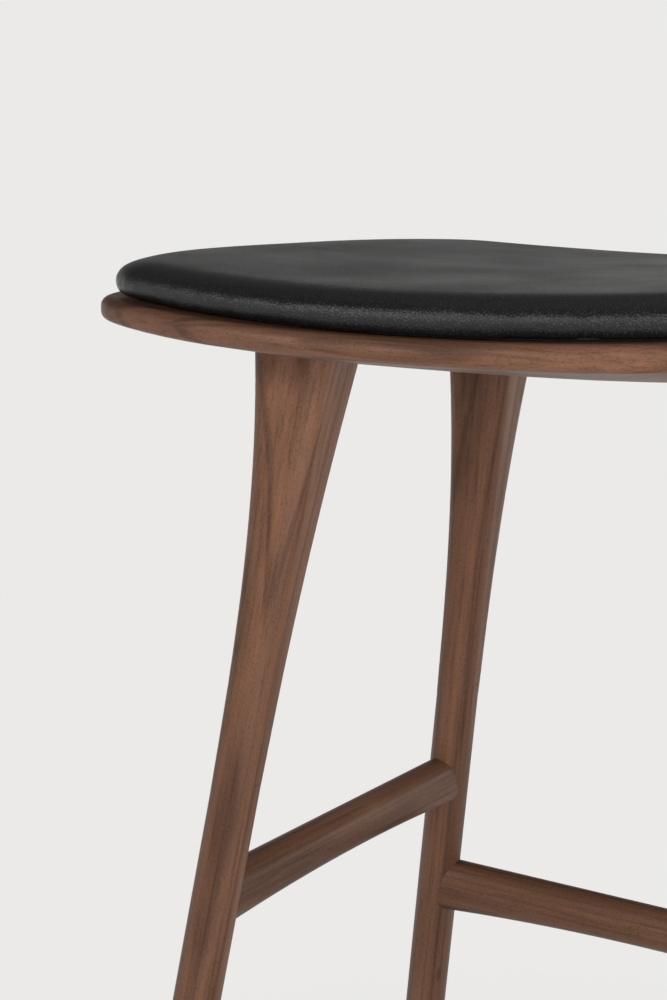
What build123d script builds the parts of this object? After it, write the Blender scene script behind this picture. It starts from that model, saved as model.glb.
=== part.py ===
import os
from math import acos, asin, atan2, cos, degrees, hypot, pi, sin, sqrt

from build123d import *

# All lengths are millimetres. X runs along the long side of the seat, -Y is the front,
# Z is up from the floor. The origin lies on the floor under the middle of the seat.

# Seat board
board_length = 480.0
board_depth = 430.0
rim_height = 630.0
rim_thickness = 11.5
belly_depth = 19.0
belly_inset = 6.0
trough_radius = 2190.0
trough_turn = 165.0
trough_crest = 208.2
rim_rounding = 4.8
rim_low_rounding = 4.4
rim_margin = 1.0
long_side_radius = 601.0
end_radius = 364.5
corner_radius = 60.0
belly_power = 3.5
overrun = 24.0

# Foot glides
glide_radius = 10.0
glide_height = 4.0
glide_chamfer = 1.0
nail_radius = 1.3
nail_length = 16.0
nail_head_radius = 3.2
nail_head_height = 1.2
nail_recess = 0.8

# Legs
leg_width = 26.5
waist_corner_share = 0.455
top_corner_share = 0.255
leg_axis_x = 110.8
leg_axis_y = 93.9
splay_x_share = 0.1555
splay_y_share = 0.0997
flare_extra = 21.2
flare_shift_x = 3.4
flare_shift_y = 2.1
flare_end = 256.0
flare_span = 237.0
flare_power = 2.38
shift_power = 3.3
corner_power = 1.1
foot_chamfer = 1.2
flare_drop_shares = [1.036, 0.82, 0.61, 0.43, 0.27, 0.135, 0.03]
waist_tuck = 0.5

# Stretchers
side_rail_top = 319.5
cross_rail_top = 243.5
rail_height = 27.0
rail_width = 22.0
rail_corner = 10.4
rail_arch_radius = 1750.0
rail_stations = 5
shoulder_gap = 0.1
tenon_radius = 7.5
tenon_reach = 5.5
bore_reach = 6.0
fit_clearance = 0.15

# Dowels between legs and seat
dowel_radius = 5.0
dowel_length = 34.0
dowel_drop = 24.0
dowel_spread = 11.0
dowel_end_gap = 1.0
dowel_chamfer = 1.0

# Seat pad, layer by layer from the board up
pad_inset = 7.2
cloth_thickness = 0.8
cloth_inset = 12.0
leather_thickness = 1.2
leather_margin = 22.0
ply_thickness = 4.0
core_margin = 4.0
wadding_thickness = 2.0
pad_height = 17.0
pad_top_rounding = 10.0
pad_base_rounding = 4.5
staple_count = 20
staple_inset = 14.0
staple_crown = 10.0
staple_wire = 1.2
staple_thickness = 0.6
staple_leg = 4.5

# Screws that hold the pad down
screw_x = 110.0
screw_y = 42.0
screw_radius = 2.4
screw_hole_radius = 2.9
counterbore_radius = 7.2
counterbore_drop = 16.0
head_radius = 4.75
head_height = 3.0
head_chamfer = 0.7
socket_radius = 1.7
socket_depth = 1.8
washer_radius = 6.2
washer_thickness = 1.0
nut_flange_radius = 7.5
nut_flange_thickness = 1.1
nut_barrel_radius = 3.3
nut_bore_radius = 2.5
nut_sink = 0.6

half_length = board_length / 2
half_depth = board_depth / 2
dowel_level = rim_height - dowel_drop
counterbore_top = rim_height - counterbore_drop
flare_levels = [rim_height - flare_end * share for share in flare_drop_shares]


# Three arcs make the dished line of the seat: hollow in the middle, rolling over near the ends
trough_angle = asin(trough_turn / trough_radius)
roll_radius = trough_crest / sin(trough_angle) - trough_radius
roll_centre_height = trough_radius - (trough_radius + roll_radius) * cos(trough_angle)
roll_end = half_length + overrun

# Eight arcs make the plan of the seat: two long sides, two ends and four corners
side_centre_y = half_depth - long_side_radius
end_centre_x = half_length - end_radius
side_link = long_side_radius - corner_radius
end_link = end_radius - corner_radius
base_link = hypot(end_centre_x, side_centre_y)
base_angle = atan2(side_centre_y, -end_centre_x)
corner_angle = acos((base_link**2 + end_link**2 - side_link**2) / (2 * base_link * end_link))
corner_x = end_centre_x + end_link * cos(base_angle + corner_angle)
corner_y = end_link * sin(base_angle + corner_angle)
end_angle = atan2(corner_y, corner_x - end_centre_x)
side_angle = atan2(corner_y - side_centre_y, corner_x)


def trough(x):
    # height of the dished seat above its own middle line
    if abs(x) < trough_turn:
        return trough_radius - sqrt(trough_radius**2 - x**2)
    return roll_centre_height + sqrt(roll_radius**2 - (abs(x) - trough_crest) ** 2)


def trough_slope(x):
    if abs(x) < trough_turn:
        return x / sqrt(trough_radius**2 - x**2)
    past_crest = x - trough_crest if x > 0 else x + trough_crest
    return -past_crest / sqrt(roll_radius**2 - past_crest**2)


def reach_share(x, y, inset):
    # nought in the middle of the seat, one on its outline
    along = abs(x) / (half_length - inset)
    across = abs(y) / (half_depth - inset)
    return (along**belly_power + across**belly_power) ** (1 / belly_power)


def underside(x, y):
    share = reach_share(x, y, belly_inset) ** 2
    return rim_height - rim_thickness - belly_depth * (1 - share) + trough(x) * min(share, 1)


def height_field(height_at, columns=13, rows=11):
    # a smooth surface over a grid wider than the seat
    wide = half_length + overrun
    deep = half_depth + overrun
    grid = []
    for i in range(columns):
        x = wide * (2 * i / (columns - 1) - 1)
        row = []
        for j in range(rows):
            y = deep * (2 * j / (rows - 1) - 1)
            row.append(Vector(x, y, height_at(x, y)))
        grid.append(row)
    return Face.make_surface_from_array_of_points(grid)


def outline_arcs(inset):
    # centre, radius, first angle and sweep of each arc, drawn in from the edge of the seat
    arcs = []
    for turn, (centre_x, centre_y), radius, first, last in (
        (0, (end_centre_x, 0), end_radius, -end_angle, end_angle),
        (0, (corner_x, corner_y), corner_radius, end_angle, side_angle),
        (0, (0, side_centre_y), long_side_radius, side_angle, pi - side_angle),
        (0, (-corner_x, corner_y), corner_radius, pi - side_angle, pi - end_angle),
        (pi, (end_centre_x, 0), end_radius, -end_angle, end_angle),
        (pi, (corner_x, corner_y), corner_radius, end_angle, side_angle),
        (pi, (0, side_centre_y), long_side_radius, side_angle, pi - side_angle),
        (pi, (-corner_x, corner_y), corner_radius, pi - side_angle, pi - end_angle),
    ):
        flip = 1 if turn == 0 else -1
        centre = (flip * centre_x, flip * centre_y)
        arcs.append((centre, radius - inset, degrees(first + turn), degrees(last - first)))
    return arcs


def trough_arcs(base):
    # the dished line seen from the front, raised to a base height
    first = degrees(acos((roll_end - trough_crest) / roll_radius))
    joint = 90 + degrees(trough_angle)
    roll_height = base + roll_centre_height
    hollow_height = base + trough_radius
    return [
        ((trough_crest, roll_height), roll_radius, first, joint - first),
        ((0, hollow_height), trough_radius, 270 - degrees(trough_angle), 2 * degrees(trough_angle)),
        ((-trough_crest, roll_height), roll_radius, 180 - joint, joint - first),
    ]


def seat_slab(inset, low, high):
    # a slab with the plan of the seat; low and high are measured above the dished board
    with BuildPart() as slab:
        with BuildSketch(Plane.XY.offset(rim_height + low - overrun)):
            with BuildLine():
                for centre, radius, first, sweep in outline_arcs(inset):
                    CenterArc(centre, radius, first, sweep)
            make_face()
        extrude(amount=high - low + 2 * overrun)
        with BuildSketch(Plane.XZ):
            with BuildLine() as band:
                for base in (rim_height + low, rim_height + high):
                    for centre, radius, first, sweep in trough_arcs(base):
                        CenterArc(centre, radius, first, sweep)
                ends = band.vertices().sort_by(Axis.X)
                Line(ends[0], ends[1])
                Line(ends[-2], ends[-1])
            make_face()
        extrude(amount=half_depth + overrun, both=True, mode=Mode.INTERSECT)
    return slab.part


def dished_level(edge):
    # height of the middle of an edge above the dished top of the board
    spot = edge.position_at(0.5)
    return spot.Z - rim_height - trough(spot.X)


def round_rims(blank, high, low_rounding, high_rounding):
    # rounds the upper and the lower rim of a slab whose top lies at the given level
    low_limit = high - high_rounding - rim_margin
    with BuildPart() as slab:
        add(blank)
        rims = slab.edges().filter_by(GeomType.LINE, reverse=True)
        fillet(rims.filter_by(lambda edge: dished_level(edge) > high - rim_margin), radius=high_rounding)
        if low_rounding:
            rims = slab.edges().filter_by(GeomType.LINE, reverse=True)
            fillet(rims.filter_by(lambda edge: dished_level(edge) < low_limit), radius=low_rounding)
    return slab.part


def leg_centre(side_x, side_y, level):
    # middle of the leg at one height, leaning out towards its foot
    drop = rim_height - level
    rise = max(0, (flare_end - drop) / flare_span) ** shift_power
    x = leg_axis_x + splay_x_share * drop + flare_shift_x * rise
    y = leg_axis_y + splay_y_share * drop + flare_shift_y * rise
    return (side_x * x, side_y * y)


def leg_section(level):
    # width and corner radius of the flared upper leg at one height
    rise = max(0, (flare_end - rim_height + level) / flare_span)
    width = leg_width + flare_extra * rise**flare_power
    corner = waist_corner_share + (top_corner_share - waist_corner_share) * min(rise, 1) ** corner_power
    return width, width * corner


def rail_level(top, reach):
    # height of the tenon at the end of a rail whose upper line is straight
    return top - (rail_height + reach**2 / (2 * rail_arch_radius)) / 2


os.makedirs("parts", exist_ok=True)

corners = {
    "front_left": (-1, -1),
    "front_right": (1, -1),
    "rear_left": (-1, 1),
    "rear_right": (1, 1),
}

# Seat board before its holes are bored
with BuildPart() as board_slab:
    add(seat_slab(0, -rim_thickness - belly_depth, 0))
    field = height_field(underside)
    extrude(field, amount=4 * overrun, dir=(0, 0, 1), mode=Mode.INTERSECT)
board_blank = round_rims(board_slab.part, 0, rim_low_rounding, rim_rounding)

# Legs before their holes are bored: a turned shank run into a flared, softly squared top
# that is cut to the underside of the seat
waist_level = rim_height - flare_end
leg_blanks = {}
for corner, (side_x, side_y) in corners.items():
    with BuildPart() as blank:
        for level in flare_levels:
            width, rounding = leg_section(level)
            tuck = waist_tuck if level == flare_levels[0] else 0
            with BuildSketch(Plane.XY.offset(level)):
                with Locations(leg_centre(side_x, side_y, level)):
                    RectangleRounded(width - tuck, width - tuck, rounding - tuck / 2)
        loft()
        extrude(height_field(underside), amount=2 * overrun, dir=(0, 0, 1), mode=Mode.SUBTRACT)
        foot = Vector(*leg_centre(side_x, side_y, glide_height), glide_height)
        waist = Vector(*leg_centre(side_x, side_y, waist_level), waist_level)
        with BuildSketch(Plane(foot, z_dir=waist - foot).offset(-leg_width / 2)):
            Circle(leg_width / 2)
        extrude(amount=(waist - foot).length + leg_width / 2)
        with BuildSketch(Plane.XY.offset(glide_height)):
            with Locations(leg_centre(side_x, side_y, glide_height)):
                Circle(2 * leg_width)
        extrude(amount=-leg_width, mode=Mode.SUBTRACT)
        chamfer(blank.faces().sort_by(Axis.Z)[0].edges(), length=foot_chamfer)
    leg_blanks[corner] = blank.part

# Where the rails meet the leg axes, all below the flare of the legs
side_reach = leg_axis_y + splay_y_share * (rim_height - side_rail_top)
side_level = rail_level(side_rail_top, side_reach)
side_x_place, side_reach = leg_centre(1, 1, side_level)
cross_reach = leg_axis_x + splay_x_share * (rim_height - cross_rail_top)
cross_level = rail_level(cross_rail_top, cross_reach)
cross_reach, cross_y_place = leg_centre(1, 1, cross_level)

# Rails with an arched underside, shoulders shaped to the round legs and a turned tenon at each end
rails = {
    "side_stretcher_left": ("front_left", "rear_left", -side_x_place, side_reach, side_rail_top, True),
    "side_stretcher_right": ("front_right", "rear_right", side_x_place, side_reach, side_rail_top, True),
    "front_stretcher": ("front_left", "front_right", -cross_y_place, cross_reach, cross_rail_top, False),
    "rear_stretcher": ("rear_left", "rear_right", cross_y_place, cross_reach, cross_rail_top, False),
}
for name, (first_leg, second_leg, place, reach, top, runs_back) in rails.items():
    with BuildPart() as rail:
        for i in range(rail_stations):
            along = reach * (2 * i / (rail_stations - 1) - 1)
            height = rail_height + along**2 / (2 * rail_arch_radius)
            centre = (place, along) if runs_back else (along, place)
            forward = (0, 1, 0) if runs_back else (1, 0, 0)
            across = (1, 0, 0) if runs_back else (0, 1, 0)
            with BuildSketch(Plane((*centre, top - height / 2), x_dir=across, z_dir=forward)):
                RectangleRounded(rail_width, height, rail_corner)
        loft()
        for side_x, side_y in (corners[first_leg], corners[second_leg]):
            foot = Vector(*leg_centre(side_x, side_y, glide_height), glide_height)
            waist = Vector(*leg_centre(side_x, side_y, waist_level), waist_level)
            with BuildSketch(Plane(foot, z_dir=waist - foot)):
                Circle(leg_width / 2 + shoulder_gap)
        extrude(amount=waist_level, mode=Mode.SUBTRACT)
        level = side_level if runs_back else cross_level
        for end in (-1, 1):
            start = end * (reach - leg_width)
            centre = (place, start) if runs_back else (start, place)
            forward = (0, end, 0) if runs_back else (end, 0, 0)
            with BuildSketch(Plane((*centre, level), z_dir=forward)):
                Circle(tenon_radius)
            extrude(amount=leg_width + tenon_reach)
    rail.part.label = name
    export_step(rail.part, f"parts/{name}.step")

# Legs with the bores for rail tenons, seat dowels and glide nails
seat_dowels = []
for corner, (side_x, side_y) in corners.items():
    dowel_x, dowel_y = leg_centre(side_x, side_y, dowel_level)
    seat_dowels.append((dowel_x - dowel_spread, dowel_y))
    seat_dowels.append((dowel_x + dowel_spread, dowel_y))
    with BuildPart() as leg:
        add(leg_blanks[corner])
        bores = (
            (side_x * side_x_place, side_y * (side_reach - leg_width), side_level, (0, side_y, 0)),
            (side_x * (cross_reach - leg_width), side_y * cross_y_place, cross_level, (side_x, 0, 0)),
        )
        for x, y, level, forward in bores:
            with BuildSketch(Plane((x, y, level), z_dir=forward)):
                Circle(tenon_radius + fit_clearance)
        extrude(amount=leg_width + bore_reach, mode=Mode.SUBTRACT)
        with BuildSketch(Plane.XY.offset(dowel_level - dowel_length / 2 - dowel_end_gap)):
            with Locations(*seat_dowels[-2:]):
                Circle(dowel_radius + fit_clearance)
        extrude(amount=dowel_length, mode=Mode.SUBTRACT)
        with BuildSketch(Plane.XY.offset(glide_height)):
            with Locations(leg_centre(side_x, side_y, glide_height)):
                Circle(nail_radius)
        extrude(amount=nail_length, mode=Mode.SUBTRACT)
    leg.part.label = f"leg_{corner}"
    export_step(leg.part, f"parts/leg_{corner}.step")

with BuildPart() as leg_dowels:
    with BuildSketch(Plane.XY.offset(dowel_level - dowel_length / 2)):
        with Locations(*seat_dowels):
            Circle(dowel_radius)
    extrude(amount=dowel_length)
    chamfer(leg_dowels.edges().filter_by(GeomType.CIRCLE), length=dowel_chamfer)
leg_dowels.part.label = "leg_dowels"
export_step(leg_dowels.part, "parts/leg_dowels.step")

# Seat board, bored from below for the dowels and the screws of the pad
screw_places = [(x, y) for x in (-screw_x, screw_x) for y in (-screw_y, screw_y)]
with BuildPart() as seat_board:
    add(board_blank)
    with BuildSketch(Plane.XY.offset(dowel_level - dowel_length / 2)):
        with Locations(*seat_dowels):
            Circle(dowel_radius + fit_clearance)
    extrude(amount=dowel_length + dowel_end_gap, mode=Mode.SUBTRACT)
    with BuildSketch(Plane.XY.offset(counterbore_top)):
        with Locations(*screw_places):
            Circle(counterbore_radius)
    extrude(amount=-belly_depth, mode=Mode.SUBTRACT)
    with BuildSketch(Plane.XY.offset(counterbore_top)):
        with Locations(*screw_places):
            Circle(screw_hole_radius)
    extrude(amount=2 * overrun, mode=Mode.SUBTRACT)
seat_board.part.label = "seat_board"
export_step(seat_board.part, "parts/seat_board.step")

# Heights of the layers above the board
ply_low = cloth_thickness + leather_thickness
ply_high = ply_low + ply_thickness
nut_top = rim_height + trough(screw_x) + ply_high + nut_flange_thickness - nut_sink

with BuildPart() as pad_tee_nuts:
    with BuildSketch(Plane.XY.offset(nut_top)):
        with Locations(*screw_places):
            Circle(nut_flange_radius)
    extrude(amount=-nut_flange_thickness)
    with BuildSketch(Plane.XY.offset(nut_top)):
        with Locations(*screw_places):
            Circle(nut_barrel_radius)
    extrude(amount=-ply_thickness)
    with BuildSketch(Plane.XY.offset(nut_top)):
        with Locations(*screw_places):
            Circle(nut_bore_radius)
    extrude(amount=-ply_thickness, mode=Mode.SUBTRACT)
pad_tee_nuts.part.label = "pad_tee_nuts"
export_step(pad_tee_nuts.part, "parts/pad_tee_nuts.step")

with BuildPart() as pad_washers:
    with BuildSketch(Plane.XY.offset(counterbore_top)):
        with Locations(*screw_places):
            Circle(washer_radius)
            Circle(screw_radius + fit_clearance, mode=Mode.SUBTRACT)
    extrude(amount=-washer_thickness)
pad_washers.part.label = "pad_washers"
export_step(pad_washers.part, "parts/pad_washers.step")

with BuildPart() as pad_screws:
    with BuildSketch(Plane.XY.offset(counterbore_top - washer_thickness)):
        with Locations(*screw_places):
            Circle(head_radius)
    extrude(amount=-head_height)
    chamfer(pad_screws.edges().group_by(Axis.Z)[0], length=head_chamfer)
    with BuildSketch(Plane.XY.offset(nut_top)):
        with Locations(*screw_places):
            Circle(screw_radius)
    extrude(amount=counterbore_top - washer_thickness - nut_top)
    with BuildSketch(Plane.XY.offset(counterbore_top - washer_thickness - head_height)):
        with Locations(*screw_places):
            RegularPolygon(socket_radius, 6)
    extrude(amount=socket_depth, mode=Mode.SUBTRACT)
pad_screws.part.label = "pad_screws"
export_step(pad_screws.part, "parts/pad_screws.step")

# Staples that hold the turned-under leather, spaced along a line inside the edge of the pad
with BuildLine(mode=Mode.PRIVATE) as staple_line:
    for centre, radius, first, sweep in outline_arcs(pad_inset + staple_inset):
        CenterArc(centre, radius, first, sweep)
staple_path = staple_line.wires()[0]
staple_planes = []
for i in range(staple_count):
    spot = staple_path.position_at((i + 0.5) / staple_count)
    way = staple_path.tangent_at((i + 0.5) / staple_count)
    slope = trough_slope(spot.X)
    origin = (spot.X, spot.Y, rim_height + trough(spot.X) + cloth_thickness)
    staple_planes.append(Plane(origin, x_dir=(way.X, way.Y, slope * way.X), z_dir=(-slope, 0, 1)))
with BuildPart() as pad_staples:
    for plane in staple_planes:
        with BuildSketch(plane):
            Rectangle(staple_crown, staple_wire)
    extrude(amount=staple_thickness)
    for plane in staple_planes:
        with BuildSketch(plane):
            with GridLocations(staple_crown - staple_thickness, 0, 2, 1):
                Rectangle(staple_thickness, staple_wire)
    extrude(amount=staple_leg)
pad_staples.part.label = "pad_staples"
export_step(pad_staples.part, "parts/pad_staples.step")

# Pad layers, each one cut to the layers inside it
inner_inset = pad_inset + leather_thickness
core_inset = inner_inset + core_margin
inside_leather = round_rims(
    seat_slab(inner_inset, ply_low, pad_height - leather_thickness),
    pad_height - leather_thickness,
    pad_base_rounding - leather_thickness,
    pad_top_rounding - leather_thickness,
)
outside_leather = round_rims(
    seat_slab(pad_inset, cloth_thickness, pad_height),
    pad_height,
    pad_base_rounding,
    pad_top_rounding,
)

ply_blank = seat_slab(core_inset, ply_low, ply_high)
foam_height = pad_height - leather_thickness - wadding_thickness
foam_rounding = pad_top_rounding - leather_thickness - wadding_thickness
foam_blank = round_rims(
    seat_slab(core_inset, ply_high, foam_height),
    foam_height,
    0,
    foam_rounding,
)

with BuildPart() as pad_base_cloth:
    add(seat_slab(pad_inset + cloth_inset, 0, cloth_thickness))
    with BuildSketch(Plane.XY.offset(rim_height - overrun)):
        with Locations(*screw_places):
            Circle(screw_hole_radius)
    extrude(amount=2 * overrun, mode=Mode.SUBTRACT)
    add(pad_staples.part, mode=Mode.SUBTRACT)
pad_base_cloth.part.label = "pad_base_cloth"
export_step(pad_base_cloth.part, "parts/pad_base_cloth.step")

with BuildPart() as pad_leather:
    add(outside_leather)
    add(inside_leather, mode=Mode.SUBTRACT)
    add(seat_slab(pad_inset + leather_margin, 0, ply_high), mode=Mode.SUBTRACT)
    add(pad_staples.part, mode=Mode.SUBTRACT)
pad_leather.part.label = "pad_leather"
export_step(pad_leather.part, "parts/pad_leather.step")

with BuildPart() as pad_board:
    add(ply_blank)
    with BuildSketch(Plane.XY.offset(nut_top)):
        with Locations(*screw_places):
            Circle(nut_flange_radius)
    extrude(amount=-nut_flange_thickness, mode=Mode.SUBTRACT)
    with BuildSketch(Plane.XY.offset(nut_top)):
        with Locations(*screw_places):
            Circle(nut_barrel_radius)
    extrude(amount=-overrun, mode=Mode.SUBTRACT)
    add(pad_staples.part, mode=Mode.SUBTRACT)
pad_board.part.label = "pad_board"
export_step(pad_board.part, "parts/pad_board.step")

with BuildPart() as pad_foam:
    add(foam_blank)
    with BuildSketch(Plane.XY.offset(nut_top)):
        with Locations(*screw_places):
            Circle(nut_flange_radius)
    extrude(amount=-nut_flange_thickness, mode=Mode.SUBTRACT)
pad_foam.part.label = "pad_foam"
export_step(pad_foam.part, "parts/pad_foam.step")

with BuildPart() as pad_wadding:
    add(inside_leather)
    add(round_rims(seat_slab(core_inset, 0, foam_height), foam_height, 0, foam_rounding), mode=Mode.SUBTRACT)
pad_wadding.part.label = "pad_wadding"
export_step(pad_wadding.part, "parts/pad_wadding.step")

# Foot glides and their nails
foot_places = {}
for corner, (side_x, side_y) in corners.items():
    foot_places[corner] = leg_centre(side_x, side_y, glide_height)
    with BuildPart() as glide:
        with BuildSketch():
            with Locations(foot_places[corner]):
                Circle(glide_radius)
        extrude(amount=glide_height)
        chamfer(glide.edges().sort_by(Axis.Z)[0], length=glide_chamfer)
        with BuildSketch():
            with Locations(foot_places[corner]):
                Circle(nail_head_radius)
        extrude(amount=nail_recess + nail_head_height, mode=Mode.SUBTRACT)
        with BuildSketch():
            with Locations(foot_places[corner]):
                Circle(nail_radius)
        extrude(amount=glide_height, mode=Mode.SUBTRACT)
    glide.part.label = f"glide_{corner}"
    export_step(glide.part, f"parts/glide_{corner}.step")

with BuildPart() as glide_nails:
    with BuildSketch(Plane.XY.offset(nail_recess)):
        with Locations(*foot_places.values()):
            Circle(nail_head_radius)
    extrude(amount=nail_head_height)
    with BuildSketch(Plane.XY.offset(nail_recess)):
        with Locations(*foot_places.values()):
            Circle(nail_radius)
    extrude(amount=nail_length)
glide_nails.part.label = "glide_nails"
export_step(glide_nails.part, "parts/glide_nails.step")
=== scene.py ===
import math

import bpy
import bmesh
from mathutils import Matrix, Vector


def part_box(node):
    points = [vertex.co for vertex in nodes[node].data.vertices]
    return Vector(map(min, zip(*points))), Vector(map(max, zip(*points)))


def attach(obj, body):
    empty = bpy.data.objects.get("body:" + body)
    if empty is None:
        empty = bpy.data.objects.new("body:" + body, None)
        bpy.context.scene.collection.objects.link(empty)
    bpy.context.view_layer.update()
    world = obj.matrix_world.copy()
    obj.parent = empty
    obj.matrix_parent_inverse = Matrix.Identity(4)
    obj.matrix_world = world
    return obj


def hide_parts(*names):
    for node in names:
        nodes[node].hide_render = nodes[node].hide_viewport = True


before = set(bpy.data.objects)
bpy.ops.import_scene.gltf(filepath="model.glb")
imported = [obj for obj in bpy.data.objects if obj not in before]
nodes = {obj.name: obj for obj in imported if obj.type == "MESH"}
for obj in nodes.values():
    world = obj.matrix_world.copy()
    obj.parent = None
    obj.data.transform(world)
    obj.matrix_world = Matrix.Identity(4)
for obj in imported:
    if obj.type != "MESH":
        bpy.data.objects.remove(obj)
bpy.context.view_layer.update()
print("frame loaded:", len(nodes), "nodes")


# small helpers

noiseLow, noiseHigh = 0.3, 0.7   # most of a noise texture lies between these
waveCycle = 0.314                # width of one band of the wave texture at scale 1
fullTone = (1, 1, 1, 1)
noTone = (0, 0, 0, 1)


def srgb(red, green, blue):
    # a colour as the screen shows it, turned into linear values
    def oneChannel(value):
        value = value / 255
        return value / 12.92 if value <= 0.04045 else ((value + 0.055) / 1.055) ** 2.4
    return (oneChannel(red), oneChannel(green), oneChannel(blue), 1.0)


def startMaterial(name):
    material = bpy.data.materials.new(name)
    material.use_nodes = True
    tree = material.node_tree
    tree.nodes.clear()
    output = tree.nodes.new("ShaderNodeOutputMaterial")
    shader = tree.nodes.new("ShaderNodeBsdfPrincipled")
    tree.links.new(shader.outputs["BSDF"], output.inputs["Surface"])
    return material, tree, shader


def feed(tree, socket, value):
    # a socket is linked, anything else is set as a value
    if isinstance(value, bpy.types.NodeSocket):
        tree.links.new(value, socket)
    else:
        socket.default_value = value


def addNode(tree, kind, settings=None, **inputs):
    # inputs are given by socket name, with underscores for spaces
    node = tree.nodes.new(kind)
    for key, value in (settings or {}).items():
        setattr(node, key, value)
    for key, value in inputs.items():
        feed(tree, node.inputs[key.replace("_", " ")], value)
    return node


def mathNode(tree, operation, *values):
    node = tree.nodes.new("ShaderNodeMath")
    node.operation = operation
    for socket, value in zip(node.inputs, values):
        feed(tree, socket, value)
    return node.outputs[0]


def mixColour(tree, factor, first, second, blend="MIX"):
    node = tree.nodes.new("ShaderNodeMix")
    node.data_type = "RGBA"
    node.blend_type = blend
    node.clamp_factor = True
    # of a colour mix, sockets 0, 6 and 7 are the factor and the colours, and output 2 is the result
    for number, value in ((0, factor), (6, first), (7, second)):
        feed(tree, node.inputs[number], value)
    return node.outputs[2]


def ramp(tree, factor, stops):
    node = tree.nodes.new("ShaderNodeValToRGB")
    node.color_ramp.interpolation = "EASE"
    elements = node.color_ramp.elements
    while len(elements) < len(stops):
        elements.new(0.5)
    for element, (position, colour) in zip(elements, stops):
        element.position = position
        element.color = colour
    tree.links.new(factor, node.inputs["Fac"])
    return node.outputs["Color"]


def shadeBy(tree, colour, factor, stops, depth):
    # a pattern's tones laid over a colour
    return mixColour(tree, depth, colour, ramp(tree, factor, stops), "MULTIPLY")


def objectSpace(tree):
    return addNode(tree, "ShaderNodeTexCoord").outputs["Object"]


def noise(tree, vector, scale, detail, roughness):
    return addNode(
        tree, "ShaderNodeTexNoise",
        Vector=vector, Scale=scale, Detail=detail, Roughness=roughness,
    )


def addBump(tree, shader, height, strength, distance):
    bump = addNode(tree, "ShaderNodeBump", Height=height, Strength=strength, Distance=distance)
    tree.links.new(bump.outputs["Normal"], shader.inputs["Normal"])


def varyRoughness(tree, shader, factor, atLow, atHigh):
    spread = addNode(
        tree, "ShaderNodeMapRange", Value=factor, From_Min=noiseLow, From_Max=noiseHigh,
        To_Min=atLow, To_Max=atHigh,
    )
    tree.links.new(spread.outputs["Result"], shader.inputs["Roughness"])


def grainSpace(tree, origin, axis, up, stretch):
    # coordinates whose Z runs along the grain, squeezed so that a pattern comes out long
    along = Vector(axis).normalized()
    side = Vector(up).cross(along).normalized()
    turn = Matrix((side, along.cross(side), along)).transposed()
    spot = addNode(
        tree, "ShaderNodeMapping", {"vector_type": "TEXTURE"},
        Vector=objectSpace(tree), Location=origin, Rotation=turn.to_euler(), Scale=(1, 1, stretch),
    )
    return spot.outputs["Vector"]


def dress(name, material):
    # gives a carried-over piece of the frame its finish
    piece = nodes[name]
    for slot in piece.material_slots:
        slot.material = material
    if not piece.material_slots:
        piece.data.materials.append(material)


def dropCadMaterials():
    for material in list(bpy.data.materials):
        if material.users == 0:
            bpy.data.materials.remove(material)


# stained wood of the board, the legs and the stretchers

woodLook = {
    "shade": srgb(80, 54, 40),
    "body": srgb(107, 75, 57),
    "glow": srgb(129, 93, 72),
    "cloudStops": (0.32, 0.50, 0.70),
    "cloud": {"scale": 30.0, "detail": 4.0, "roughness": 0.55},
    "fibre": {"scale": 420.0, "detail": 5.0, "roughness": 0.72},
    "streak": {"scale": 130.0, "detail": 3.0, "roughness": 0.6},
    "pore": {"scale": 1800.0, "detail": 1.0, "roughness": 0.5},
    "figureStretch": 9.0,
    "fibreStretch": 45.0,
    "poreStretch": 3.0,
    "ringWidth": 0.012,
    "ringWander": 5.0,
    "ringDetail": 3.0,
    "ringDetailScale": 0.6,
    "fleckSize": 0.024,
    "ringDepth": 0.75,
    "streakDepth": 0.70,
    "fibreDepth": 0.85,
    "poreDepth": 0.6,
    "fleckDepth": 0.8,
    "bump": 0.22,
    "bumpHeight": 0.00025,
    "roughAtLow": 0.52,
    "roughAtHigh": 0.41,
    "gloss": 0.20,
    "seedShift": (0.37, 0.61, 0.23),
}

woodTones = {
    "ring": [
        (0.0, (0.94, 0.93, 0.92, 1)), (0.72, (1.05, 1.05, 1.05, 1)),
        (0.94, (0.55, 0.52, 0.50, 1)), (1.0, (0.80, 0.78, 0.76, 1)),
    ],
    "streak": [(0.30, (0.50, 0.47, 0.45, 1)), (0.44, fullTone), (0.66, (1.15, 1.10, 1.06, 1))],
    "fibre": [(0.34, (0.66, 0.64, 0.62, 1)), (0.50, fullTone), (0.68, (1.18, 1.16, 1.14, 1))],
    "pore": [(0.34, (0.45, 0.42, 0.40, 1)), (0.43, fullTone)],
    "fleck": [(0.035, (0.52, 0.48, 0.45, 1)), (0.11, fullTone)],
}

# the legs' grain runs from the middle of the foot to this place at the top
legGrain = {"topAcross": 0.1108, "topDeep": 0.0939, "lean": 0.35, "firstSeed": 3.1, "seedStep": 5.3}
railGrain = {"up": (0, 0, 1), "firstSeed": 31.7, "seedStep": 4.9}
seatGrain = {"along": (1, 0, 0), "up": (0, 0.2, 1), "seed": 57.0}


def movedBy(tree, vector, shift):
    node = addNode(tree, "ShaderNodeVectorMath", {"operation": "ADD"}, Vector=vector)
    node.inputs[1].default_value = shift
    return node.outputs[0]


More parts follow.
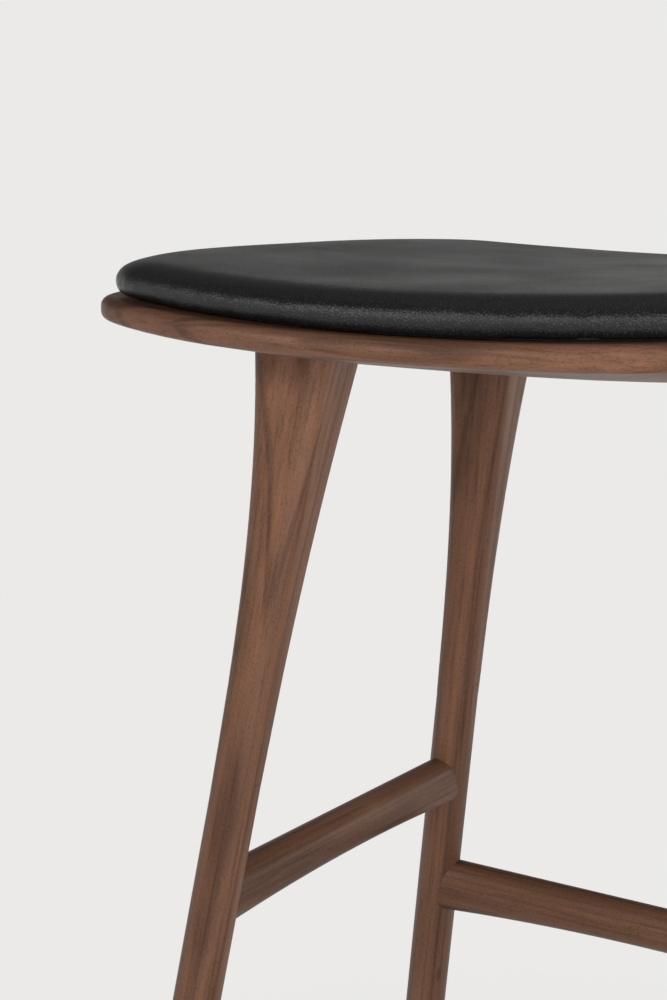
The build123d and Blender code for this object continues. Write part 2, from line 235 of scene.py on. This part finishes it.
def stainedWood(name, origin, axis, up, seed):
    # every piece is cut from its own place in the same timber, so no two show the same figure
    material, tree, shader = startMaterial(name)
    shift = tuple(seed * step for step in woodLook["seedShift"])
    long = movedBy(tree, grainSpace(tree, origin, axis, up, woodLook["figureStretch"]), shift)
    veryLong = movedBy(tree, grainSpace(tree, origin, axis, up, woodLook["fibreStretch"]), shift)
    short = movedBy(tree, grainSpace(tree, origin, axis, up, woodLook["poreStretch"]), shift)

    cloud = noise(tree, long, **woodLook["cloud"])
    fibre = noise(tree, veryLong, **woodLook["fibre"])
    streak = noise(tree, veryLong, **woodLook["streak"])
    pore = noise(tree, short, **woodLook["pore"])
    rings = addNode(
        tree, "ShaderNodeTexWave",
        {"wave_type": "BANDS", "bands_direction": "X", "wave_profile": "SAW"},
        Vector=long, Scale=waveCycle / woodLook["ringWidth"], Distortion=woodLook["ringWander"],
        Detail=woodLook["ringDetail"], Detail_Scale=woodLook["ringDetailScale"],
    )
    fleck = addNode(
        tree, "ShaderNodeTexVoronoi", {"feature": "F1"},
        Vector=short, Scale=1.0 / woodLook["fleckSize"], Randomness=1.0,
    )

    tones = (woodLook["shade"], woodLook["body"], woodLook["glow"])
    colour = ramp(tree, cloud.outputs["Fac"], list(zip(woodLook["cloudStops"], tones)))
    patterns = (
        ("ring", rings.outputs["Fac"]), ("streak", streak.outputs["Fac"]),
        ("fibre", fibre.outputs["Fac"]), ("pore", pore.outputs["Fac"]),
        ("fleck", fleck.outputs["Distance"]),
    )
    for pattern, factor in patterns:
        colour = shadeBy(tree, colour, factor, woodTones[pattern], woodLook[pattern + "Depth"])
    tree.links.new(colour, shader.inputs["Base Color"])

    varyRoughness(
        tree, shader, fibre.outputs["Fac"], woodLook["roughAtLow"], woodLook["roughAtHigh"],
    )
    height = mathNode(tree, "ADD", pore.outputs["Fac"], fibre.outputs["Fac"])
    addBump(tree, shader, height, woodLook["bump"], woodLook["bumpHeight"])
    shader.inputs["Specular IOR Level"].default_value = woodLook["gloss"]
    return material


def middleOf(name):
    low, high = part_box(name)
    return (low + high) / 2


def dressWood():
    corners = {
        "front_left": (-1, -1), "front_right": (1, -1), "rear_left": (-1, 1), "rear_right": (1, 1),
    }
    for number, (corner, (sideX, sideY)) in enumerate(corners.items()):
        low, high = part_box("leg_" + corner)
        foot = middleOf("glide_" + corner)
        top = Vector((sideX * legGrain["topAcross"], sideY * legGrain["topDeep"], high.z))
        up = (sideX, legGrain["lean"] * sideY, 0)
        seed = legGrain["firstSeed"] + legGrain["seedStep"] * number
        dress("leg_" + corner, stainedWood("stainedWood." + corner, foot, top - foot, up, seed))
    rails = {
        "side_stretcher_left": (0, 1, 0), "side_stretcher_right": (0, 1, 0),
        "front_stretcher": (1, 0, 0), "rear_stretcher": (1, 0, 0),
    }
    for number, (rail, axis) in enumerate(rails.items()):
        seed = railGrain["firstSeed"] + railGrain["seedStep"] * number
        dress(rail, stainedWood("stainedWood." + rail, middleOf(rail), axis, railGrain["up"], seed))
    dress("seat_board", stainedWood(
        "stainedWood.seat", middleOf("seat_board"), seatGrain["along"], seatGrain["up"],
        seatGrain["seed"],
    ))


# fixings, glides and the inner pieces

bareWoodLook = {
    "grain": {"scale": 180.0, "detail": 5.0, "roughness": 0.65},
    "stretch": 12.0,
    "up": (0, 1, 0.1),
    "plyLayer": 0.0026,
    "layerWander": 0.2,
    "layerDepth": 0.6,
    "layerTones": [(0.3, (0.7, 0.66, 0.6, 1)), (0.6, fullTone)],
    "bump": 0.3,
    "bumpHeight": 0.0003,
    "roughness": 0.7,
}

dowelLook = {"light": srgb(206, 172, 130), "dark": srgb(176, 138, 98), "along": (0, 0, 1)}
plyLook = {"light": srgb(214, 184, 140), "dark": srgb(188, 152, 108), "along": (1, 0, 0)}

zincLook = {
    "dark": srgb(150, 152, 152),
    "light": srgb(196, 196, 190),
    "spangle": {"scale": 900.0, "detail": 3.0, "roughness": 0.6},
    "roughAtLow": 0.28,
    "roughAtHigh": 0.46,
}

nylonLook = {
    "dark": srgb(46, 42, 40),
    "light": srgb(62, 57, 54),
    "darkStop": 0.35,
    "lightStop": 0.7,
    "scuff": {"scale": 700.0, "detail": 6.0, "roughness": 0.7},
    "bump": 0.25,
    "bumpHeight": 0.0002,
    "roughness": 0.55,
}


def bareWood(name, look, layered=False):
    material, tree, shader = startMaterial(name)
    long = grainSpace(
        tree, (0, 0, 0), look["along"], bareWoodLook["up"], bareWoodLook["stretch"],
    )
    grain = noise(tree, long, **bareWoodLook["grain"]).outputs["Fac"]
    colour = ramp(tree, grain, [(noiseLow, look["dark"]), (noiseHigh, look["light"])])
    if layered:
        layers = addNode(
            tree, "ShaderNodeTexWave",
            {"wave_type": "BANDS", "bands_direction": "Z", "wave_profile": "SIN"},
            Vector=objectSpace(tree), Scale=waveCycle / bareWoodLook["plyLayer"],
            Distortion=bareWoodLook["layerWander"],
        )
        colour = shadeBy(
            tree, colour, layers.outputs["Fac"], bareWoodLook["layerTones"],
            bareWoodLook["layerDepth"],
        )
    tree.links.new(colour, shader.inputs["Base Color"])
    addBump(tree, shader, grain, bareWoodLook["bump"], bareWoodLook["bumpHeight"])
    shader.inputs["Roughness"].default_value = bareWoodLook["roughness"]
    return material


def zincSteel():
    material, tree, shader = startMaterial("zincSteel")
    spangle = noise(tree, objectSpace(tree), **zincLook["spangle"]).outputs["Fac"]
    colour = ramp(tree, spangle, [(noiseLow, zincLook["dark"]), (noiseHigh, zincLook["light"])])
    tree.links.new(colour, shader.inputs["Base Color"])
    varyRoughness(tree, shader, spangle, zincLook["roughAtLow"], zincLook["roughAtHigh"])
    shader.inputs["Metallic"].default_value = 1.0
    return material


def glideNylon():
    material, tree, shader = startMaterial("glideNylon")
    scuff = noise(tree, objectSpace(tree), **nylonLook["scuff"]).outputs["Fac"]
    colour = ramp(tree, scuff, [
        (nylonLook["darkStop"], nylonLook["dark"]), (nylonLook["lightStop"], nylonLook["light"]),
    ])
    tree.links.new(colour, shader.inputs["Base Color"])
    addBump(tree, shader, scuff, nylonLook["bump"], nylonLook["bumpHeight"])
    shader.inputs["Roughness"].default_value = nylonLook["roughness"]
    return material


def dressInnerPieces():
    dress("leg_dowels", bareWood("dowelBeech", dowelLook))
    dress("pad_board", bareWood("birchPly", plyLook, layered=True))
    steel = zincSteel()
    for name in ("pad_staples", "pad_tee_nuts", "pad_screws", "pad_washers", "glide_nails"):
        dress(name, steel)
    nylon = glideNylon()
    for name in ("glide_front_left", "glide_front_right", "glide_rear_left", "glide_rear_right"):
        dress(name, nylon)


# leather pad

seatPlan = {
    "halfLength": 0.240,
    "halfDepth": 0.215,
    "longSideRadius": 0.601,
    "endRadius": 0.3645,
    "cornerRadius": 0.060,
    "middleLevel": 0.630,
    "hollowRadius": 2.190,
    "hollowTurn": 0.165,
    "crest": 0.2082,
}

padForm = {
    "inset": 0.0072,
    "lift": 0.0008,
    "height": 0.0175,
    "crown": 0.0026,
    "crownPower": 4,
    "frontRise": 0.0018,
    "bulgeLevel": 0.0078,
    "topRounding": 0.0200,
    "baseTuck": 0.0042,
    "roundPower": 2.1,
    "startShrink": 0.0005,
}

padMesh = {
    "around": 400,
    "baseShares": (0.25, 0.5, 0.75),
    "sideSteps": 9,
    "topSteps": 16,
    "topShares": (0.93, 0.84, 0.72, 0.58, 0.42, 0.24, 0.1),
    "voxel": 0.004,
    "fineLevels": 1,
}

padSwelling = {
    "pressure": 4.0,
    "quality": 6,
    "stretching": 40,
    "shearing": 20,
    "bending": 8,
    "lastFrame": 20,
    "heldShare": 0.35,
    "mostMove": 0.0012,
    "evenRounds": 40,
}

leatherLook = {
    # crease is painted shade: the creases between the pebbles are coloured darker than the pebble
    # tops
    "crease": srgb(14, 14, 15),
    "pebble": srgb(32, 33, 35),
    "pebblesPerMetre": 620.0,
    "finePerMetre": 1500.0,
    "pebbleStop": 0.42,
    "fineStop": 0.45,
    "fineShare": 0.15,
    "wobble": {"scale": 420.0, "detail": 2.0, "roughness": 0.5},
    "wobbleWidth": 0.0012,
    "broad": {"scale": 16.0, "detail": 3.0, "roughness": 0.5},
    "broadTones": [(noiseLow, (0.85, 0.85, 0.85, 1)), (noiseHigh, (1.1, 1.1, 1.1, 1))],
    "bump": 0.50,
    "bumpHeight": 0.00022,
    "roughAtLow": 0.34,
    "roughAtHigh": 0.43,
    "gloss": 0.36,
}


def seatTrough(x):
    # the dished line of the seat, above its own middle
    hollow = seatPlan["hollowRadius"]
    turn = seatPlan["hollowTurn"]
    crest = seatPlan["crest"]
    angle = math.asin(turn / hollow)
    roll = crest / math.sin(angle) - hollow
    if abs(x) < turn:
        return hollow - math.sqrt(hollow ** 2 - x ** 2)
    rise = hollow - (hollow + roll) * math.cos(angle)
    return rise + math.sqrt(roll ** 2 - (abs(x) - crest) ** 2)


def seatOutline(inset, count):
    # evenly spaced points round the plan of the seat, drawn in by an inset
    halfDepth = seatPlan["halfDepth"]
    sideRadius = seatPlan["longSideRadius"]
    endRadius = seatPlan["endRadius"]
    cornerRadius = seatPlan["cornerRadius"]
    sideCentre = halfDepth - sideRadius
    endCentre = seatPlan["halfLength"] - endRadius
    sideLink = sideRadius - cornerRadius
    endLink = endRadius - cornerRadius
    baseLink = math.hypot(endCentre, sideCentre)
    baseAngle = math.atan2(sideCentre, -endCentre)
    turn = math.acos((baseLink ** 2 + endLink ** 2 - sideLink ** 2) / (2 * baseLink * endLink))
    cornerX = endCentre + endLink * math.cos(baseAngle + turn)
    cornerY = endLink * math.sin(baseAngle + turn)
    endAngle = math.atan2(cornerY, cornerX - endCentre)
    sideAngle = math.atan2(cornerY - sideCentre, cornerX)
    # the arcs of one quarter: centre, radius, first and last angle
    arcs = [
        ((endCentre, 0.0), endRadius - inset, 0.0, endAngle),
        ((cornerX, cornerY), cornerRadius - inset, endAngle, sideAngle),
        ((0.0, sideCentre), sideRadius - inset, sideAngle, math.pi / 2),
    ]
    lengths = [radius * (last - first) for centre, radius, first, last in arcs]
    total = sum(lengths)
    perQuarter = count // 4
    quarter = []
    for i in range(perQuarter):
        way = total * i / perQuarter
        for (centre, radius, first, last), length in zip(arcs, lengths):
            if way <= length:
                angle = first + way / radius
                quarter.append((
                    centre[0] + radius * math.cos(angle), centre[1] + radius * math.sin(angle),
                ))
                break
            way -= length
    mirrored = [(-x, y) for x, y in reversed(quarter[1:])]
    upper = quarter + [(0.0, halfDepth - inset)] + mirrored
    lower = [(-x, -y) for x, y in upper]
    return upper + lower


def padSkin():
    # rings of points from the middle of the base, round the side and over the top
    lift = padForm["lift"] + padForm["startShrink"]
    bulge = padForm["bulgeLevel"]
    high = padForm["height"] - padForm["startShrink"]
    edge = padForm["inset"] + padForm["startShrink"]
    bend = 2 / padForm["roundPower"]
    middleLevel = seatPlan["middleLevel"]
    count = padMesh["around"]
    rings = []   # the outline, and the level over the dished board
    baseOutline = seatOutline(edge + padForm["baseTuck"], count)
    for share in padMesh["baseShares"]:
        rings.append(([(x * share, y * share) for x, y in baseOutline], lift))
    for i in range(padMesh["sideSteps"] + 1):
        turn = math.pi / 2 * i / padMesh["sideSteps"]
        inward = padForm["baseTuck"] * (1 - math.sin(turn) ** bend)
        level = bulge - (bulge - lift) * math.cos(turn) ** bend
        rings.append((seatOutline(edge + inward, count), level))
    for i in range(1, padMesh["topSteps"] + 1):
        turn = math.pi / 2 * i / padMesh["topSteps"]
        inward = padForm["topRounding"] * (1 - math.cos(turn) ** bend)
        level = bulge + (high - bulge) * math.sin(turn) ** bend
        rings.append((seatOutline(edge + inward, count), level))
    topOutline = seatOutline(edge + padForm["topRounding"], count)
    for share in padMesh["topShares"]:
        rings.append(([(x * share, y * share) for x, y in topOutline], high))

    shape = bmesh.new()
    rows = []
    for points, level in rings:
        row = []
        for x, y in points:
            crown = 0.0
            if level > bulge:
                along = min(1.0, abs(x) / (seatPlan["halfLength"] - edge))
                across = min(1.0, abs(y) / (seatPlan["halfDepth"] - edge))
                rise = (level - bulge) / (high - bulge)
                dome = padForm["crown"] * (1 - across ** 2)
                crown = dome * (1 - along ** padForm["crownPower"]) * rise
            front = padForm["frontRise"] * -y / seatPlan["halfDepth"]
            roll = front * (level - lift) / (high - lift)
            z = middleLevel + seatTrough(x) + level + crown + roll
            row.append(shape.verts.new((x, y, z)))
        rows.append(row)
    for below, above in zip(rows, rows[1:]):
        for i in range(count):
            j = (i + 1) % count
            shape.faces.new((below[i], below[j], above[j], above[i]))
    ends = ((rows[0], lift, True), (rows[-1], high + padForm["crown"], False))
    for row, level, flip in ends:
        centre = shape.verts.new((0, 0, middleLevel + level))
        for i in range(count):
            j = (i + 1) % count
            shape.faces.new((centre, row[j], row[i]) if flip else (centre, row[i], row[j]))
    bmesh.ops.recalc_face_normals(shape, faces=shape.faces)
    mesh = bpy.data.meshes.new("leatherPad")
    shape.to_mesh(mesh)
    shape.free()
    pad = bpy.data.objects.new("leatherPad", mesh)
    bpy.context.scene.collection.objects.link(pad)
    return pad


def applyModifiers(piece):
    depsgraph = bpy.context.evaluated_depsgraph_get()
    evaluated = piece.evaluated_get(depsgraph)
    mesh = bpy.data.meshes.new_from_object(evaluated, depsgraph=depsgraph)
    piece.modifiers.clear()
    old = piece.data
    piece.data = mesh
    bpy.data.meshes.remove(old)


def evenOut(moves, mesh, rounds):
    # each move becomes the mean of its own and its neighbours', so the skin stays taut
    pairs = [tuple(edge.vertices) for edge in mesh.edges]
    for number in range(rounds):
        sums = list(moves)
        counts = [1] * len(moves)
        for i, j in pairs:
            sums[i] += moves[j]
            sums[j] += moves[i]
            counts[i] += 1
            counts[j] += 1
        moves = [total / count for total, count in zip(sums, counts)]
    return moves


def remeshOnSkin(pad, skin):
    # an even mesh, drawn back onto the pad's own skin
    remesh = pad.modifiers.new("even", "REMESH")
    remesh.mode = "VOXEL"
    remesh.voxel_size = padMesh["voxel"]
    onSkin = pad.modifiers.new("onSkin", "SHRINKWRAP")
    onSkin.target = skin
    applyModifiers(pad)


def blowUp(pad, held):
    group = pad.vertex_groups.new(name="held")
    group.add(held, 1.0, "REPLACE")
    cloth = pad.modifiers.new("skin", "CLOTH")
    settings = cloth.settings
    settings.quality = padSwelling["quality"]
    settings.use_pressure = True
    settings.uniform_pressure_force = padSwelling["pressure"]
    settings.tension_stiffness = padSwelling["stretching"]
    settings.compression_stiffness = padSwelling["stretching"]
    settings.shear_stiffness = padSwelling["shearing"]
    settings.bending_stiffness = padSwelling["bending"]
    settings.vertex_group_mass = "held"
    settings.effector_weights.gravity = 0
    cloth.collision_settings.use_collision = False
    cloth.point_cache.frame_start = 1
    cloth.point_cache.frame_end = padSwelling["lastFrame"]
    scene = bpy.context.scene
    for number in range(1, padSwelling["lastFrame"] + 1):
        scene.frame_set(number)
    applyModifiers(pad)
    scene.frame_set(1)


def swell(pad, skin):
    # blown up a little with its base held; only what moves outward counts, evened out
    remeshOnSkin(pad, skin)
    start = [vertex.co.copy() for vertex in pad.data.vertices]
    outward = [vertex.normal.copy() for vertex in pad.data.vertices]
    heldLevel = padForm["bulgeLevel"] * padSwelling["heldShare"]
    held = []
    for vertex in pad.data.vertices:
        height = vertex.co.z - seatPlan["middleLevel"] - seatTrough(vertex.co.x)
        if height < heldLevel:
            held.append(vertex.index)
    blowUp(pad, held)
    moves = []
    for vertex, place, normal in zip(pad.data.vertices, start, outward):
        move = (vertex.co - place).dot(normal)
        moves.append(max(0.0, min(padSwelling["mostMove"], move)))
    for i in held:
        moves[i] = 0.0
    moves = evenOut(moves, pad.data, padSwelling["evenRounds"])
    for vertex, place, normal, move in zip(pad.data.vertices, start, outward, moves):
        vertex.co = place + normal * move
    print("pad swollen by up to", round(max(moves) * 1000, 2), "mm")


def pebbles(tree, vector, perMetre, stop):
    # pebbles that rise from their creases
    cells = addNode(
        tree, "ShaderNodeTexVoronoi", {"feature": "DISTANCE_TO_EDGE"},
        Vector=vector, Scale=perMetre, Randomness=1.0,
    )
    return ramp(tree, cells.outputs["Distance"], [(0.0, noTone), (stop, fullTone)])


def blackLeather():
    material, tree, shader = startMaterial("blackLeather")
    place = objectSpace(tree)
    wobble = noise(tree, place, **leatherLook["wobble"])
    wobbleSmall = addNode(
        tree, "ShaderNodeVectorMath", {"operation": "SCALE"},
        Vector=wobble.outputs["Color"], Scale=leatherLook["wobbleWidth"],
    )
    spot = addNode(tree, "ShaderNodeVectorMath", {"operation": "ADD"}, Vector=place)
    tree.links.new(wobbleSmall.outputs[0], spot.inputs[1])
    # crease is the pebble pattern, 0 in the creases and 1 on the tops; it gives the bump and also
    # the painted shade in the creases
    crease = pebbles(
        tree, spot.outputs[0], leatherLook["pebblesPerMetre"], leatherLook["pebbleStop"],
    )
    fine = pebbles(tree, spot.outputs[0], leatherLook["finePerMetre"], leatherLook["fineStop"])
    height = mathNode(tree, "MULTIPLY_ADD", fine, leatherLook["fineShare"], crease)
    addBump(tree, shader, height, leatherLook["bump"], leatherLook["bumpHeight"])
    broad = noise(tree, place, **leatherLook["broad"]).outputs["Fac"]
    # painted shade: the colour darkens from the pebble tops down into the creases between them
    tone = mixColour(tree, crease, leatherLook["crease"], leatherLook["pebble"])
    toned = shadeBy(tree, tone, broad, leatherLook["broadTones"], 1.0)
    tree.links.new(toned, shader.inputs["Base Color"])
    varyRoughness(tree, shader, broad, leatherLook["roughAtLow"], leatherLook["roughAtHigh"])
    shader.inputs["Specular IOR Level"].default_value = leatherLook["gloss"]
    return material


def makePad():
    pad = padSkin()
    skin = pad.copy()
    skin.data = pad.data.copy()
    bpy.context.scene.collection.objects.link(skin)
    swell(pad, skin)
    bpy.data.objects.remove(skin)
    smooth = pad.modifiers.new("fine", "SUBSURF")
    smooth.levels = padMesh["fineLevels"]
    smooth.render_levels = padMesh["fineLevels"]
    applyModifiers(pad)
    for polygon in pad.data.polygons:
        polygon.use_smooth = True
    pad.data.materials.clear()
    pad.data.materials.append(blackLeather())
    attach(pad, "root")
    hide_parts("pad_leather", "pad_wadding", "pad_foam")
    print("leather pad made:", len(pad.data.vertices), "points")


# cloth under the pad

baseClothForm = {
    "inset": 0.0192,
    "thickness": 0.0008,
    "clearance": 0.00005,
    "around": 240,
    "rings": 12,
}

baseClothLook = {
    "dark": srgb(20, 20, 21),
    "light": srgb(40, 40, 41),
    "darkStop": 0.35,
    "lightStop": 0.65,
    "fibres": {"scale": 1400.0, "detail": 6.0, "roughness": 0.8},
    "bump": 0.5,
    "bumpHeight": 0.0002,
    "roughness": 0.9,
}


def blackLining():
    material, tree, shader = startMaterial("baseCloth")
    fibres = noise(tree, objectSpace(tree), **baseClothLook["fibres"]).outputs["Fac"]
    colour = ramp(tree, fibres, [
        (baseClothLook["darkStop"], baseClothLook["dark"]),
        (baseClothLook["lightStop"], baseClothLook["light"]),
    ])
    tree.links.new(colour, shader.inputs["Base Color"])
    addBump(tree, shader, fibres, baseClothLook["bump"], baseClothLook["bumpHeight"])
    shader.inputs["Roughness"].default_value = baseClothLook["roughness"]
    return material


def makeBaseCloth():
    # a thin closed skin with the plan of the seat, lying on the dished board
    count = baseClothForm["around"]
    ringCount = baseClothForm["rings"]
    clearance = baseClothForm["clearance"]
    middleLevel = seatPlan["middleLevel"]
    outline = seatOutline(baseClothForm["inset"], count)
    shares = [i / ringCount for i in range(ringCount, 0, -1)]
    shape = bmesh.new()
    rims = []
    for level in (clearance, baseClothForm["thickness"] - clearance):
        rows = []
        for share in shares:
            rows.append([
                shape.verts.new((x * share, y * share, middleLevel + seatTrough(x * share) + level))
                for x, y in outline
            ])
        for outer, inner in zip(rows, rows[1:]):
            for i in range(count):
                j = (i + 1) % count
                shape.faces.new((outer[i], outer[j], inner[j], inner[i]))
        centre = shape.verts.new((0, 0, middleLevel + level))
        for i in range(count):
            shape.faces.new((rows[-1][i], rows[-1][(i + 1) % count], centre))
        rims.append(rows[0])
    lowRim, highRim = rims
    for i in range(count):
        j = (i + 1) % count
        shape.faces.new((lowRim[i], lowRim[j], highRim[j], highRim[i]))
    bmesh.ops.recalc_face_normals(shape, faces=shape.faces)
    mesh = bpy.data.meshes.new("baseCloth")
    shape.to_mesh(mesh)
    shape.free()
    cloth = bpy.data.objects.new("baseCloth", mesh)
    bpy.context.scene.collection.objects.link(cloth)
    mesh.materials.append(blackLining())
    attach(cloth, "root")
    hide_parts("pad_base_cloth")


# stage, lamps and camera

stageLook = {
    "background": srgb(235, 234, 232),
    "reach": 12.0,
    "paperRoughness": 0.9,
    "shadowReach": 0.30,
    "shadowEnd": 0.62,
    "shadowShare": 0.60,
    "paperLight": 0.50,
    "ambient": (0.97, 0.98, 1.0, 1.0),
    "ambientStrength": 0.17,
    "ceilingStart": 0.04,
    "ceilingEnd": 0.32,
    "ceilingShare": 0.15,
}

cameraPlace = {
    "spot": (0.4526, -0.9205, 0.7134),
    "pitch": 10.4840,
    "turn": 33.9873,
    "lens": 69.092,
    "sensor": 36.0,
    "nearest": 0.01,
}

lampPlan = {
    "keySoftbox": {
        "spot": (1.20, -1.02, 0.60), "aim": (0.0, 0.0, 0.50), "size": (0.7, 0.7), "watts": 20.0,
    },
    "leftStrip": {
        "spot": (-0.55, -1.60, 1.20), "aim": (0.0, 0.0, 0.60), "size": (2.2, 0.22), "watts": 15.0,
    },
    "topSoftbox": {
        "spot": (0.1, 0.2, 2.5), "aim": (0.0, 0.0, 0.5), "size": (1.8, 1.8), "watts": 3.5,
    },
    "backSoftbox": {
        "spot": (1.0, 1.7, 0.32), "aim": (0.0, 0.0, 0.32), "size": (1.2, 0.5), "watts": 5.0,
    },
}


def seenPlainly(tree):
    # 1 where the camera looks, straight or by way of gloss or glass
    path = addNode(tree, "ShaderNodeLightPath").outputs
    mirrored = mathNode(tree, "MAXIMUM", path["Is Glossy Ray"], path["Is Transmission Ray"])
    return mathNode(tree, "MAXIMUM", path["Is Camera Ray"], mirrored)


def mixShaders(tree, factor, first, second):
    mix = addNode(tree, "ShaderNodeMixShader", Fac=factor)
    tree.links.new(first.outputs[0], mix.inputs[1])
    tree.links.new(second.outputs[0], mix.inputs[2])
    return mix


def floorPaper():
    # plain paper: its own shading and the shadow stay near the feet, then it fades into flat colour
    material, tree, paper = startMaterial("floorPaper")
    paper.inputs["Base Color"].default_value = stageLook["background"]
    paper.inputs["Roughness"].default_value = stageLook["paperRoughness"]
    away = addNode(
        tree, "ShaderNodeVectorMath", {"operation": "LENGTH"}, Vector=objectSpace(tree),
    )
    fade = addNode(
        tree, "ShaderNodeMapRange", {"interpolation_type": "SMOOTHSTEP"},
        Value=away.outputs["Value"],
        From_Min=stageLook["shadowReach"], From_Max=stageLook["shadowEnd"],
        To_Min=1.0 - stageLook["shadowShare"], To_Max=1.0,
    ).outputs["Result"]
    plain = mathNode(tree, "MULTIPLY", seenPlainly(tree), fade)
    # the glow makes up for what the lit paper lacks of the background's brightness
    lack = mathNode(tree, "DIVIDE", 1.0 - stageLook["paperLight"], fade)
    strength = mathNode(tree, "ADD", lack, stageLook["paperLight"])
    glow = addNode(
        tree, "ShaderNodeEmission", Color=stageLook["background"], Strength=strength,
    )
    seen = mixShaders(tree, plain, paper, glow)
    # from below the floor is clear, so that the underside can be looked at
    side = addNode(tree, "ShaderNodeNewGeometry")
    clear = addNode(tree, "ShaderNodeBsdfTransparent")
    oneWay = mixShaders(tree, side.outputs["Backfacing"], seen, clear)
    output = next(node for node in tree.nodes if node.type == "OUTPUT_MATERIAL")
    tree.links.new(oneWay.outputs[0], output.inputs["Surface"])
    return material


def makeFloor():
    reach = stageLook["reach"]
    corners = [(-reach, -reach, 0), (reach, -reach, 0), (reach, reach, 0), (-reach, reach, 0)]
    mesh = bpy.data.meshes.new("floor")
    mesh.from_pydata(corners, [], [(0, 1, 2, 3)])
    floor = bpy.data.objects.new("floor", mesh)
    bpy.context.scene.collection.objects.link(floor)
    mesh.materials.append(floorPaper())


def makeWorld():
    world = bpy.data.worlds.new("studio")
    bpy.context.scene.world = world
    world.use_nodes = True
    tree = world.node_tree
    tree.nodes.clear()
    output = tree.nodes.new("ShaderNodeOutputWorld")
    # in reflections the backdrop ends overhead, where the studio is dark
    place = addNode(tree, "ShaderNodeTexCoord")
    parts = addNode(tree, "ShaderNodeSeparateXYZ", Vector=place.outputs["Generated"])
    backdrop = addNode(
        tree, "ShaderNodeMapRange", {"interpolation_type": "SMOOTHSTEP"}, Value=parts.outputs["Z"],
        From_Min=stageLook["ceilingStart"], From_Max=stageLook["ceilingEnd"],
        To_Min=1.0, To_Max=stageLook["ceilingShare"],
    ).outputs["Result"]
    path = addNode(tree, "ShaderNodeLightPath")
    strength = mathNode(tree, "MAXIMUM", path.outputs["Is Camera Ray"], backdrop)
    plain = addNode(
        tree, "ShaderNodeBackground", Color=stageLook["background"], Strength=strength,
    )
    soft = addNode(
        tree, "ShaderNodeBackground",
        Color=stageLook["ambient"], Strength=stageLook["ambientStrength"],
    )
    mix = mixShaders(tree, seenPlainly(tree), soft, plain)
    tree.links.new(mix.outputs[0], output.inputs["Surface"])


def makeLamps():
    for name, plan in lampPlan.items():
        light = bpy.data.lights.new(name, "AREA")
        light.shape = "RECTANGLE"
        light.size, light.size_y = plan["size"]
        light.energy = plan["watts"]
        lamp = bpy.data.objects.new(name, light)
        lamp.location = plan["spot"]
        way = Vector(plan["aim"]) - Vector(plan["spot"])
        lamp.rotation_euler = way.to_track_quat("-Z", "Y").to_euler()
        lamp.visible_camera = False
        bpy.context.scene.collection.objects.link(lamp)


def makeCamera():
    data = bpy.data.cameras.new("camera")
    data.lens = cameraPlace["lens"]
    data.sensor_width = cameraPlace["sensor"]
    data.sensor_fit = "AUTO"
    data.clip_start = cameraPlace["nearest"]
    camera = bpy.data.objects.new("camera", data)
    camera.location = cameraPlace["spot"]
    camera.rotation_euler = (
        math.radians(90 - cameraPlace["pitch"]), 0.0, math.radians(cameraPlace["turn"]),
    )
    bpy.context.scene.collection.objects.link(camera)
    bpy.context.scene.camera = camera
    bpy.context.scene.view_settings.view_transform = "Standard"


dressWood()
dressInnerPieces()
print("frame pieces dressed")
makePad()
makeBaseCloth()
print("cloth under the pad laid")
makeFloor()
makeWorld()
makeLamps()
makeCamera()
print("stage, lamps and camera set")
dropCadMaterials()
